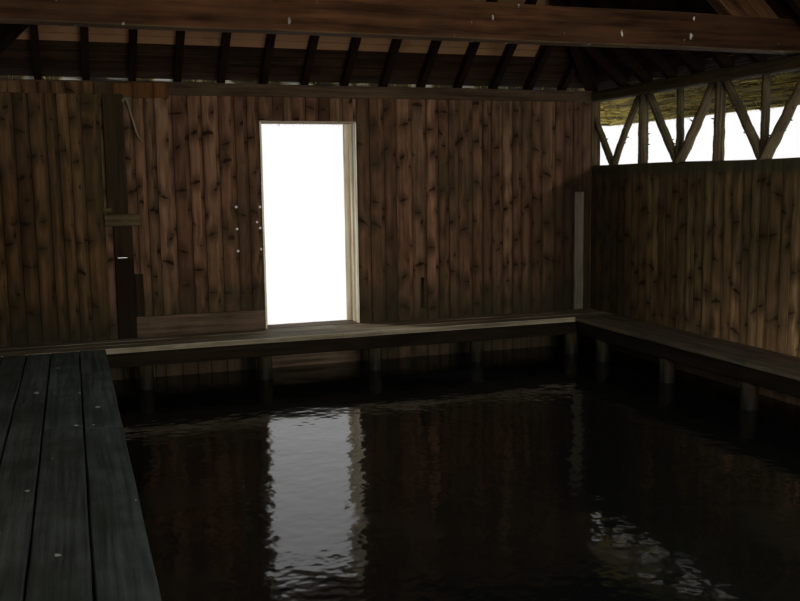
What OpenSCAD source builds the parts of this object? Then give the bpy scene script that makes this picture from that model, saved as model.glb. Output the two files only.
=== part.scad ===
// Thatched timber boathouse with a boat dock inside and a walkway on three sides.
// Millimetres. Z = 0 is the level where walls, posts and piles meet ground or water.
// The open water side faces -Y, the wall with the doorway faces +Y.

/* [Room] */
// Clear width between the long walls
room_w = 6200; // [5600:50:6800]
// Clear length between the end walls
room_l = 9900; // [9400:50:10600]
// Height of the walkway over the base
floor_h = 450; // [400:10:600]
// Thickness of the boarded walls
wall_t = 110; // [80:5:160]

/* [Wall heights over the walkway] */
// Top of the rail that carries the rustic lattice
rail_top = 1565; // [1400:5:1700]
// Height of that rail
rail_h = 100; // [80:5:140]
// Underside of the wall plate
plate_low = 2240; // [2180:5:2300]
// Height of the wall plate
plate_h = 117; // [100:1:140]
// Depth of the wall plate
plate_d = 110; // [100:5:130]
// How far the plate stands proud of the inner wall face
plate_proud = 20; // [0:5:40]

/* [Doorway] */
// Left edge of the clear doorway, from the centre line
door_left = -514; // [-700:1:-400]
// Clear width of the doorway
door_w = 935; // [800:1:1000]
// Clear height of the doorway
door_h = 2000; // [1900:10:2050]
// Thickness of the door lining
lining_t = 15; // [10:1:40]
// Depth of the door lining, from the inner wall face outwards
lining_d = 265; // [150:5:300]
// How far the stop at the lining's outer end stands into the doorway
stop_in = 49; // [0:1:60]

/* [Roof] */
// Pitch of all four slopes, degrees
pitch = 40; // [36:1:44]
// Rafter width
rafter_w = 65; // [50:5:80]
// Rafter depth, square to the slope
rafter_d = 90; // [80:5:120]
// Distance between rafters
rafter_gap = 404; // [380:1:420]
// Thickness of the roof boards
board_t = 25; // [20:1:30]
// Thickness of the thatch, square to the slope
thatch_t = 300; // [240:10:350]
// Eaves reach of the thatch underside beyond the inner wall face
eaves = 620; // [450:5:650]

/* [Truss] */
// Distance of the tie beam's inner face from the end wall's inner face
truss_at = 3130; // [3100:5:3200]
// Tie beam width
tie_w = 150; // [120:5:180]
// Tie beam depth
tie_d = 246; // [220:1:300]
// Principal rafter depth, square to the slope
principal_d = 270; // [200:5:300]

/* [Lattice] */
// First post's distance from the end wall
post_first = 900; // [860:5:1000]
// Number of lattice posts on each side
posts = 8; // [7:1:9]
// Thickness of a lattice post
post_t = 100; // [80:5:140]
// Thickness of a slanting pole
brace_t = 90; // [60:1:100]
// Thickness of the middle upright of a bay
upright_t = 74; // [50:1:80]

/* [Walkway] */
// Width of the left walkway
walk_left = 1050; // [950:10:1150]
// Width of the right walkway
walk_right = 500; // [450:10:600]
// Depth of the back walkway
walk_back = 550; // [500:10:650]
// Thickness of the planks
plank_t = 50; // [40:5:60]
// Height of the bearers under the planks
bearer_h = 130; // [100:5:150]
// Diameter of the piles
pile_d = 150; // [120:5:180]
// Distance between the piles
pile_gap = 1080; // [900:10:1100]

/* [Hidden] */

half_w = room_w / 2;
half_l = room_l / 2;
bay = (room_l - 2 * post_first) / (posts - 1);
slope = tan(pitch);
rail_z = floor_h + rail_top;
plate_z = floor_h + plate_low;
plate_top = plate_z + plate_h;
plate_out = plate_d - plate_proud;
door_right = door_left + door_w;
door_top = floor_h + door_h;
dock_left = -half_w + walk_left;
dock_right = half_w - walk_right;
dock_back = half_l - walk_back;

// Depth of each roof layer measured straight up
rafter_v = rafter_d / cos(pitch);
board_v = board_t / cos(pitch);
thatch_v = thatch_t / cos(pitch);
thatch_low_v = rafter_v + board_v;
// The rafters' underside meets the plate's top this far out from the inner wall face
seat = 30;
// Half of the ridge's length, the same at every layer because all slopes are equal
ridge_half = half_l - half_w;
apex_z = plate_top + (half_w + seat) * slope;
// How far rafters and roof boards run on outside the inner wall face
rafter_tail = 115;
side_board_tail = 230;
end_board_tail = 125;
hip_w = 90;
hip_v = 200;
ridge_t = 60;
sill_h = 195;
sill_proud = 40;

// Height of the rafters' underside at distance d outside the inner wall face
function seat_z(d) = plate_top + (seat - d) * slope;

module box(low, high) translate(low) cube(high - low);

// A slope of the roof is drawn with the wall's inner face at X = half and turned into place.

// Plan of one slope, bounded by the lines of the hips at 45 degrees
module slope_plan(half, half_ridge, reach)
    polygon([[0, -half_ridge], [half + reach, -half_ridge - half - reach],
        [half + reach, half_ridge + half + reach], [0, half_ridge]]);

// A layer that covers a whole slope, cut off at the hips; half is the span's half,
// end_ridge the ridge's half length on this side, low and high its heights straight up
module layer(half, end_ridge, low, high, reach, lip)
    intersection() {
        rotate([90, 0, 0]) linear_extrude(height = 2 * room_l, center = true)
            polygon([[0, seat_z(-half) + low], [half + reach, seat_z(reach) + low],
                [half + reach + lip, seat_z(reach + lip) + high], [0, seat_z(-half) + high]]);
        translate([0, 0, floor_h]) linear_extrude(height = 3 * plate_top)
            slope_plan(half, end_ridge, reach + lip + 200);
    }

// The end slopes are triangles in plan: their half span is measured from the hips' meeting point
module end_layer(low, high, reach, lip)
    intersection() {
        rotate([90, 0, 0]) linear_extrude(height = 2 * room_l, center = true)
            polygon([[ridge_half, seat_z(-half_w) + low], [half_l + reach, seat_z(reach) + low],
                [half_l + reach + lip, seat_z(reach + lip) + high],
                [ridge_half, seat_z(-half_w) + high]]);
        translate([0, 0, floor_h]) linear_extrude(height = 3 * plate_top)
            polygon([[ridge_half, 0],
                [half_l + reach + lip + 200, -half_w - reach - lip - 200],
                [half_l + reach + lip + 200, half_w + reach + lip + 200]]);
    }

// One rafter at distance across from the slope's middle; top is how far in from the
// inner wall face it ends, notched over the plate
module rafter(inner, across, top)
    translate([inner, across, 0]) rotate([90, 0, 0])
        linear_extrude(height = rafter_w, center = true)
            polygon([[-top, seat_z(-top)], [seat, plate_top], [plate_out, plate_top],
                [plate_out, seat_z(plate_out)], [rafter_tail, seat_z(rafter_tail)],
                [rafter_tail, seat_z(rafter_tail) + rafter_v], [-top, seat_z(-top) + rafter_v]]);

module wood(tone) color(tone) children();

// Walls

// A narrow slit of light goes through the wall and the post in front of it
slit_low = [-1890, floor_h + 740];
slit_high = [-1800, floor_h + 760];
module slit() box([slit_low[0], half_l - wall_t, slit_low[1]],
    [slit_high[0], half_l + 2 * wall_t, slit_high[1]]);

module back_wall_left() wood("#8a6a50") difference() {
    box([-half_w, half_l, 0], [door_left - lining_t, half_l + wall_t, plate_z]);
    slit();
}

module back_wall_right() wood("#8a6a50")
    box([door_right + lining_t, half_l, 0], [half_w, half_l + wall_t, plate_z]);

module back_wall_over_door() wood("#8a6a50")
    box([door_left - lining_t, half_l, door_top + lining_t],
        [door_right + lining_t, half_l + wall_t, plate_z]);

module back_wall_under_door() wood("#6f5540")
    box([door_left - lining_t, half_l, 0], [door_right + lining_t, half_l + lining_d, floor_h]);

// Squared timber at the foot of the back wall, on the walkway between the post and the doorway
module back_sill() wood("#84624c")
    box([post_foot_x[1], half_l - sill_proud, floor_h], [door_left - lining_t, half_l, floor_h + sill_h]);

// Lining of the doorway, with a stop at the outer end of both jambs
stop_d = 35;
module door_frame() wood("#cdbfa0") {
    difference() {
        box([door_left - lining_t, half_l, floor_h],
            [door_right + lining_t, half_l + lining_d, door_top + lining_t]);
        box([door_left, half_l - 1, floor_h - 1], [door_right, half_l + lining_d + 1, door_top]);
    }
    for (x = [door_left - 1, door_right - stop_in])
        box([x, half_l + lining_d - stop_d, floor_h], [x + stop_in + 1, half_l + lining_d, door_top + 1]);
}

// Dark timber on the left part of the back wall, in two lengths that meet behind a short block
post_foot_x = [-1915, -1750];
post_head_x = [-1957, -1778];
post_proud = 45;
block_proud = 90;
block_low = [-1990, floor_h + 1047];
block_high = [-1678, floor_h + 1157];
post_joint = (block_low[1] + block_high[1]) / 2;
batten_low = [half_w - 210, floor_h];
batten_high = [half_w - 100, floor_h + 1280];
batten_proud = 25;

module wall_post() wood("#4e4030") difference() {
    union() {
        box([post_foot_x[0], half_l - post_proud, floor_h], [post_foot_x[1], half_l, post_joint]);
        box([post_head_x[0], half_l - post_proud, post_joint], [post_head_x[1], half_l, plate_z]);
    }
    slit();
}

module cross_block() wood("#7d6a52")
    box([block_low[0], half_l - block_proud, block_low[1]],
        [block_high[0], half_l - post_proud, block_high[1]]);

module pale_batten() wood("#c9b795")
    box([batten_low[0], half_l - batten_proud, batten_low[1]],
        [batten_high[0], half_l, batten_high[1]]);

// The boards on the room's side run up in front of the rail, nearly to its top
facing_t = 22;
facing_z = rail_z - 8;
module side_wall(side) {
    box([side > 0 ? half_w : -half_w - wall_t, -half_l, 0],
        [side > 0 ? half_w + wall_t : -half_w, half_l, rail_z - rail_h]);
    box([side > 0 ? half_w : -half_w - facing_t, -half_l, floor_h],
        [side > 0 ? half_w + facing_t : -half_w, half_l, facing_z]);
}

// The rail stands this far proud of the wall's outer face
rail_proud = 15;
module side_rail(side)
    box([side > 0 ? half_w + facing_t : -half_w - wall_t - rail_proud, -half_l, rail_z - rail_h],
        [side > 0 ? half_w + wall_t + rail_proud : -half_w - facing_t, half_l, rail_z]);

module right_wall_boards() wood("#8a6a50") side_wall(1);
module left_wall_boards() wood("#8a6a50") side_wall(-1);
module right_sill_rail() wood("#6b5b48") side_rail(1);
module left_sill_rail() wood("#6b5b48") side_rail(-1);

// A pole of eight sides between two points of the wall's plane, t along the wall, z up
module pole(t0, z0, t1, z1, thick) {
    len = norm([t1 - t0, z1 - z0]);
    translate([0, t0, z0]) rotate([atan2(t0 - t1, z1 - z0), 0, 0]) rotate([0, 0, 22.5])
        cylinder(h = len, d = thick / cos(22.5), $fn = 8);
}

// The outermost V stands on its own: its foot's distance from the end wall and how far its
// short outer arm and its long inner arm lean
end_foot = 353;
end_out = 430;
end_in = 490;
// The outer arm meets the corner post this far under the plate
end_drop = 120;
// Poles are drawn a little too long and cut off level at the rail and the plate
over = 40;

// Rustic lattice between rail and plate: posts, a V of poles in each bay and an upright in it
module lattice(side) {
    x = side * (half_w + wall_t / 2);
    low = rail_z;
    high = plate_z;
    ends = [for (i = [0:posts - 1]) half_l - post_first - i * bay];
    lean = bay / 2 - post_t / 2 - brace_t / 4;
    translate([x, 0, 0]) intersection() {
        union() {
            for (y = ends) pole(y, low - over, y, high + over, post_t);
            for (i = [0:posts - 2]) {
                mid = ends[i] - bay / 2;
                pole(mid, low - over, mid - lean, high + over, brace_t);
                pole(mid, low - over, mid + lean, high + over, brace_t);
                pole(mid, low - over, mid, high + over, upright_t);
            }
            for (s = [-1, 1]) {
                foot = s * (half_l - end_foot);
                pole(foot, low - over, foot + s * end_out, high - end_drop, brace_t);
                pole(foot, low - over, foot - s * end_in, high + over, brace_t);
            }
        }
        box([-post_t, -half_l + 1, low], [post_t, half_l - 1, high]);
    }
}

module right_lattice() wood("#75695a") lattice(1);
module left_lattice() wood("#75695a") lattice(-1);

// Plates: the end plates run right across, the side plates fit between them

module end_plate(side)
    box([-half_w - plate_out, side > 0 ? half_l - plate_proud : -half_l - plate_out, plate_z],
        [half_w + plate_out, side > 0 ? half_l + plate_out : -half_l + plate_proud, plate_top]);

module side_plate(side)
    box([side > 0 ? half_w - plate_proud : -half_w - plate_out, -half_l + plate_proud, plate_z],
        [side > 0 ? half_w + plate_out : -half_w + plate_proud, half_l - plate_proud, plate_top]);

module back_plate() wood("#77604c") end_plate(1);
module front_plate() wood("#77604c") end_plate(-1);
module right_plate() wood("#6b5b48") side_plate(1);
module left_plate() wood("#6b5b48") side_plate(-1);

module corner_posts() wood("#5d4b3a")
    for (sx = [-1, 1], sy = [-1, 1])
        translate([sx * (half_w + wall_t / 2), sy * (half_l + wall_t / 2), plate_z / 2])
            cube([wall_t, wall_t, plate_z], center = true);

// Round posts at the dock's edges on the open side, with slanting poles up to the plate
front_post_d = 160;
front_y = -half_l - front_post_d / 2 + plate_proud;
front_left_x = dock_left - front_post_d / 2;
front_right_x = dock_right + front_post_d / 2;
front_brace_d = 100;
front_brace_rise = 620;
front_brace_run = 560;

module front_posts() wood("#6b5b48")
    for (x = [front_left_x, front_right_x])
        translate([x, front_y, 0]) cylinder(h = plate_z, d = front_post_d, $fn = 24);

module front_brace(x, turn)
    intersection() {
        translate([x, front_y, plate_z - front_brace_rise])
            rotate([0, turn * atan(front_brace_run / front_brace_rise), 0])
            cylinder(h = 2 * front_brace_rise, d = front_brace_d, $fn = 8);
        box([turn > 0 ? x + front_post_d / 2 : 2 * dock_left, front_y - front_brace_d, floor_h],
            [turn > 0 ? 2 * dock_right : x - front_post_d / 2, front_y + front_brace_d, plate_z]);
    }

module front_braces() wood("#75695a") {
    front_brace(front_left_x, 1);
    front_brace(front_right_x, -1);
}

// Walkway: planks on bearers, bearers on piles along the dock

module walkway_left() wood("#5d5c50")
    box([-half_w, -half_l, floor_h - plank_t], [dock_left, dock_back, floor_h]);
module walkway_right() wood("#5d5c50")
    box([dock_right, -half_l, floor_h - plank_t], [half_w, dock_back, floor_h]);
module walkway_back() wood("#5d5c50")
    box([-half_w, dock_back, floor_h - plank_t], [half_w, half_l, floor_h]);

bearer_w = 100;
bearer_z = floor_h - plank_t - bearer_h;
bearer_in = 30;
bearer_start = 60;
pile_start = 300;

module walkway_bearers() wood("#4a4034") {
    box([dock_left - bearer_in - bearer_w, -half_l + bearer_start, bearer_z],
        [dock_left - bearer_in, dock_back, floor_h - plank_t]);
    box([dock_right + bearer_in, -half_l + bearer_start, bearer_z],
        [dock_right + bearer_in + bearer_w, dock_back, floor_h - plank_t]);
    box([-half_w, dock_back + bearer_in, bearer_z],
        [half_w, dock_back + bearer_in + bearer_w, floor_h - plank_t]);
}

module pile_row(x, from)
    for (y = [from:pile_gap:dock_back - pile_d])
        translate([x, y, 0]) cylinder(h = bearer_z, d = pile_d, $fn = 24);

module piles_left() wood("#463c30")
    pile_row(dock_left - bearer_in - bearer_w / 2, -half_l + pile_start);
module piles_right() wood("#463c30")
    pile_row(dock_right + bearer_in + bearer_w / 2, -half_l + pile_start);
module piles_back() wood("#463c30")
    for (x = [-half_w + pile_start:pile_gap:half_w - pile_d])
        translate([x, dock_back + bearer_in + bearer_w / 2, 0])
            cylinder(h = bearer_z, d = pile_d, $fn = 24);

// Roof frame

truss_y = half_l - truss_at;
// The tie beams end on the plates, this far out from the inner wall face
tie_end = 30;

module tie_beams() wood("#5b4636")
    for (s = [-1, 1])
        translate([0, s * (truss_y + tie_w / 2), plate_top + tie_d / 2])
            cube([room_w + 2 * tie_end, tie_w, tie_d], center = true);

// Each principal rafter stands on the tie beam and meets its partner over the middle
principal_v = principal_d / cos(pitch);

module principal_rafters() wood("#5b4636")
    for (sy = [-1, 1], turn = [0, 180])
        translate([0, sy * (truss_y + tie_w / 2), 0]) rotate([0, 0, turn]) rotate([90, 0, 0])
            linear_extrude(height = tie_w, center = true)
                polygon([[1, seat_z(-half_w) - principal_v],
                    [half_w + seat - (tie_d + principal_v) / slope, plate_top + tie_d],
                    [half_w + seat - tie_d / slope, plate_top + tie_d],
                    [1, seat_z(-half_w)]]);

ridge_low = apex_z - 60;
ridge_high = apex_z + rafter_v - 40;
module ridge_beam() wood("#5b4636")
    box([-ridge_t / 2, -truss_y + 1, ridge_low], [ridge_t / 2, truss_y - 1, ridge_high]);

// Hip rafters run at 45 degrees in plan; s is the distance along, from the inner corner
hip_slope = slope / sqrt(2);
hip_top = seat * slope + rafter_v - hip_w / 2 * hip_slope;
function hip_z(s) = plate_top + hip_top + s * hip_slope;
hip_s = (truss_at - tie_w - 1) * sqrt(2) - hip_w / 2;
hip_seat = (hip_v - hip_top) / hip_slope;

module hip_rafters() wood("#544233")
    for (sx = [-1, 1], sy = [-1, 1])
        translate([sx * half_w, sy * half_l, 0])
            rotate([0, 0, atan2(-sy, -sx)]) rotate([90, 0, 0])
            linear_extrude(height = hip_w, center = true)
                polygon([[-plate_out, plate_top], [hip_seat, plate_top],
                    [hip_s, hip_z(hip_s) - hip_v], [hip_s, hip_z(hip_s)],
                    [-plate_out, hip_z(-plate_out)]]);

// Rafters end at the ridge beam or, near the corners, at the hip rafter
hip_clear = hip_w / sqrt(2) + rafter_w / 2 + 2;
// The end slopes' middle rafter stands this far left of the centre line
rafter_shift = 63;

module side_rafters()
    for (k = [-12:12]) let (y = k * rafter_gap, near = half_l - hip_clear - abs(y))
        if (near > rafter_w) rafter(half_w, y, min(half_w - ridge_t / 2, near));

module end_rafters(shift)
    for (k = [-7:7]) let (x = shift + k * rafter_gap)
        if (abs(x) < half_w - hip_clear - rafter_w)
            rafter(half_l, x, half_w - hip_clear - abs(x));

module rafters_right() wood("#4c3c2e") side_rafters();
module rafters_left() wood("#4c3c2e") rotate([0, 0, 180]) side_rafters();
module rafters_back() wood("#4c3c2e") rotate([0, 0, 90]) end_rafters(rafter_shift);
module rafters_front() wood("#4c3c2e") rotate([0, 0, 270]) end_rafters(-rafter_shift);

// Roof covering

module side_boards() layer(half_w, ridge_half, rafter_v, thatch_low_v, side_board_tail, 0);
module end_boards() end_layer(rafter_v, thatch_low_v, end_board_tail, 0);
thatch_lip = thatch_t * sin(pitch);
module side_thatch()
    layer(half_w, ridge_half, thatch_low_v, thatch_low_v + thatch_v, eaves, thatch_lip);
module end_thatch()
    end_layer(thatch_low_v, thatch_low_v + thatch_v, eaves, thatch_lip);

module roof_boards_right() wood("#6d5a44") side_boards();
module roof_boards_left() wood("#6d5a44") rotate([0, 0, 180]) side_boards();
module roof_boards_back() wood("#6d5a44") rotate([0, 0, 90]) end_boards();
module roof_boards_front() wood("#6d5a44") rotate([0, 0, 270]) end_boards();
module thatch_right() wood("#a08a5a") side_thatch();
module thatch_left() wood("#a08a5a") rotate([0, 0, 180]) side_thatch();
module thatch_back() wood("#a08a5a") rotate([0, 0, 90]) end_thatch();
module thatch_front() wood("#a08a5a") rotate([0, 0, 270]) end_thatch();

// Rounded saddle of thatch over the ridge
cap_run = 420;
cap_t = 90;
cap_over = 150;
cap_z = apex_z + thatch_low_v + thatch_v;
// Corners of the saddle's right half beyond its foot: the outer edge and the rounded top
cap_edge = [cap_run + 60, cap_z - cap_run * slope + 50];
cap_round = [90, cap_z + cap_t - 25];
module ridge_cap() wood("#8c7748")
    rotate([90, 0, 0]) linear_extrude(height = 2 * (ridge_half + cap_over), center = true)
        polygon([[-cap_run, cap_z - cap_run * slope], [0, cap_z], [cap_run, cap_z - cap_run * slope],
            cap_edge, cap_round, [0, cap_z + cap_t], [-cap_round[0], cap_round[1]],
            [-cap_edge[0], cap_edge[1]]]);

back_wall_left();
back_wall_right();
back_wall_over_door();
back_wall_under_door();
back_sill();
door_frame();
wall_post();
cross_block();
pale_batten();
right_wall_boards();
right_sill_rail();
right_lattice();
left_wall_boards();
left_sill_rail();
left_lattice();
back_plate();
front_plate();
right_plate();
left_plate();
corner_posts();
front_posts();
front_braces();
walkway_left();
walkway_right();
walkway_back();
walkway_bearers();
piles_left();
piles_right();
piles_back();
tie_beams();
principal_rafters();
ridge_beam();
hip_rafters();
rafters_back();
rafters_front();
rafters_right();
rafters_left();
roof_boards_back();
roof_boards_front();
roof_boards_right();
roof_boards_left();
thatch_back();
thatch_front();
thatch_right();
thatch_left();
ridge_cap();
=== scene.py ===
from math import cos, pi, radians, sin, tan

import bpy
import numpy as np
from mathutils import Matrix, Vector


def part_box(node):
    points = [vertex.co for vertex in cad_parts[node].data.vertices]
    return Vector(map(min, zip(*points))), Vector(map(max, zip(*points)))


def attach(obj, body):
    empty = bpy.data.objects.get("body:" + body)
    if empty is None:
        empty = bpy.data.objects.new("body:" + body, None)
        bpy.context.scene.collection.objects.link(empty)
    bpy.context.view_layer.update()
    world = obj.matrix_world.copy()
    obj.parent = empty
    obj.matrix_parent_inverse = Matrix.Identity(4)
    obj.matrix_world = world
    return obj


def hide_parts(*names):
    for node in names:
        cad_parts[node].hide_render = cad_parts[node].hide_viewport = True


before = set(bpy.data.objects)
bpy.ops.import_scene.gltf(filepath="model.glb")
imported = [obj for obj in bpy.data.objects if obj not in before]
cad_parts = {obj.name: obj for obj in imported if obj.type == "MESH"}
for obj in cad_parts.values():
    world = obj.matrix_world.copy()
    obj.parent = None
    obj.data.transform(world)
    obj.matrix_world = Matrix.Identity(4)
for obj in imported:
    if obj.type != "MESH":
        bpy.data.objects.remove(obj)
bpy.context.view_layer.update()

nodeBox = {name: np.array(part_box(name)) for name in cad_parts}  # lowest and highest corners

# Levels and faces of the room, read from the frame
halfW, halfL, floorZ = nodeBox["walkway_back"][1]
plateLow, plateTop = nodeBox["back_plate"][:, 2]
railLow, railTop = nodeBox["right_sill_rail"][:, 2]
wallThick = nodeBox["right_wall_boards"][1][0] - halfW
dockLeft, dockBack = nodeBox["walkway_left"][1][:2]
dockRight = nodeBox["walkway_right"][0][0]
doorLow, doorHigh = nodeBox["door_frame"]

# Thicknesses are square to the slope; the rafters' underside meets the plate's top at the seat
roof = {"pitch": radians(40), "seat": 0.03, "rafter": 0.09, "board": 0.025, "thatch": 0.3}
slope, cosP, sinP = tan(roof["pitch"]), cos(roof["pitch"]), sin(roof["pitch"])
rafterV, boardV, thatchV = (roof[key] / cosP for key in ("rafter", "board", "thatch"))  # straight up
eavesLip = roof["thatch"] * sinP
eavesOut = nodeBox["thatch_right"][1][0] - halfW - eavesLip


def raftersUnder(out):
    # height of the rafters' underside at a distance outside the inner wall face
    return plateTop + (roof["seat"] - out) * slope


# Shader nodes written as sums and products

def tone(red, green, blue):
    # a colour written 0 to 255, in Blender's linear light
    share = np.array([red, green, blue]) / 255
    linear = np.where(share <= 0.04045, share / 12.92, ((share + 0.055) / 1.055) ** 2.4)
    return (*linear.tolist(), 1.0)


class Wire:
    # one socket of a look; + - * / on it add Math nodes
    def __init__(self, look, socket):
        self.look, self.socket = look, socket

    def math(self, operation, *others):
        return self.look.node("Math", dict(enumerate((self, *others))), operation=operation)[0]

    def __add__(self, other):
        return self.math("ADD", other)

    def __sub__(self, other):
        return self.math("SUBTRACT", other)

    def __rsub__(self, other):
        return self.look.node("Math", {0: other, 1: self}, operation="SUBTRACT")[0]

    def __mul__(self, other):
        return self.math("MULTIPLY", other)

    def __truediv__(self, other):
        return self.math("DIVIDE", other)

    __radd__, __rmul__ = __add__, __mul__

    def below(self, limit):
        return self.math("LESS_THAN", limit)

    def rise(self, low, high):
        # 0 under low, 1 over high, smooth between
        ends = {"Value": self, "From Min": low, "From Max": high}
        return self.look.node("MapRange", ends, interpolation_type="SMOOTHSTEP")[0]


class Look:
    # a material or the world; every node comes from node(), which sets its settings before its values
    def __init__(self, name, kind="materials"):
        self.owner = getattr(bpy.data, kind).new(name)
        self.owner.use_nodes = True
        self.tree = self.owner.node_tree
        self.tree.nodes.clear()

    def node(self, kind, values={}, **settings):
        made = self.tree.nodes.new("ShaderNode" + kind)
        for key, value in settings.items():
            setattr(made, key, value)
        for key, value in values.items():
            if isinstance(value, Wire):
                self.tree.links.new(value.socket, made.inputs[key])
            else:
                made.inputs[key].default_value = value
        outs = {}
        for number, socket in enumerate(made.outputs):
            outs[number] = outs[socket.name] = Wire(self, socket)
        return outs

    def attribute(self, name):
        return self.node("Attribute", attribute_name=name)[2]

    def place(self):
        return self.node("TexCoord")["Object"]

    def grain(self):
        return self.node("UVMap", uv_map="grain")[0]

    def stretched(self, vector, scale, turn=(0, 0, 0)):
        return self.node("Mapping", {"Vector": vector, "Scale": scale, "Rotation": turn})[0]

    def noise(self, vector, scale, detail=2.0, rough=0.5):
        spot = self.stretched(vector, scale)
        return self.node("TexNoise", {"Vector": spot, "Scale": 1.0, "Detail": detail, "Roughness": rough})[0]

    def parts(self, vector):
        outs = self.node("SeparateXYZ", {0: vector})
        return outs[0], outs[1], outs[2]

    def joined(self, x, y, z):
        return self.node("CombineXYZ", {0: x, 1: y, 2: z})[0]

    def blend(self, share, under, over, mode="MIX"):
        return self.node("Mix", {0: share, 6: under, 7: over}, data_type="RGBA", blend_type=mode)[2]

    def finish(self, colour, rough, height=None, depth=None, **values):
        if height is not None:
            values["Normal"] = self.node("Bump", {"Strength": 1.0, "Distance": depth, "Height": height})[0]
        shader = self.node("BsdfPrincipled", {"Base Color": colour, "Roughness": rough, **values})[0]
        self.node("OutputMaterial", {0: shader})
        return self.owner


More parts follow.
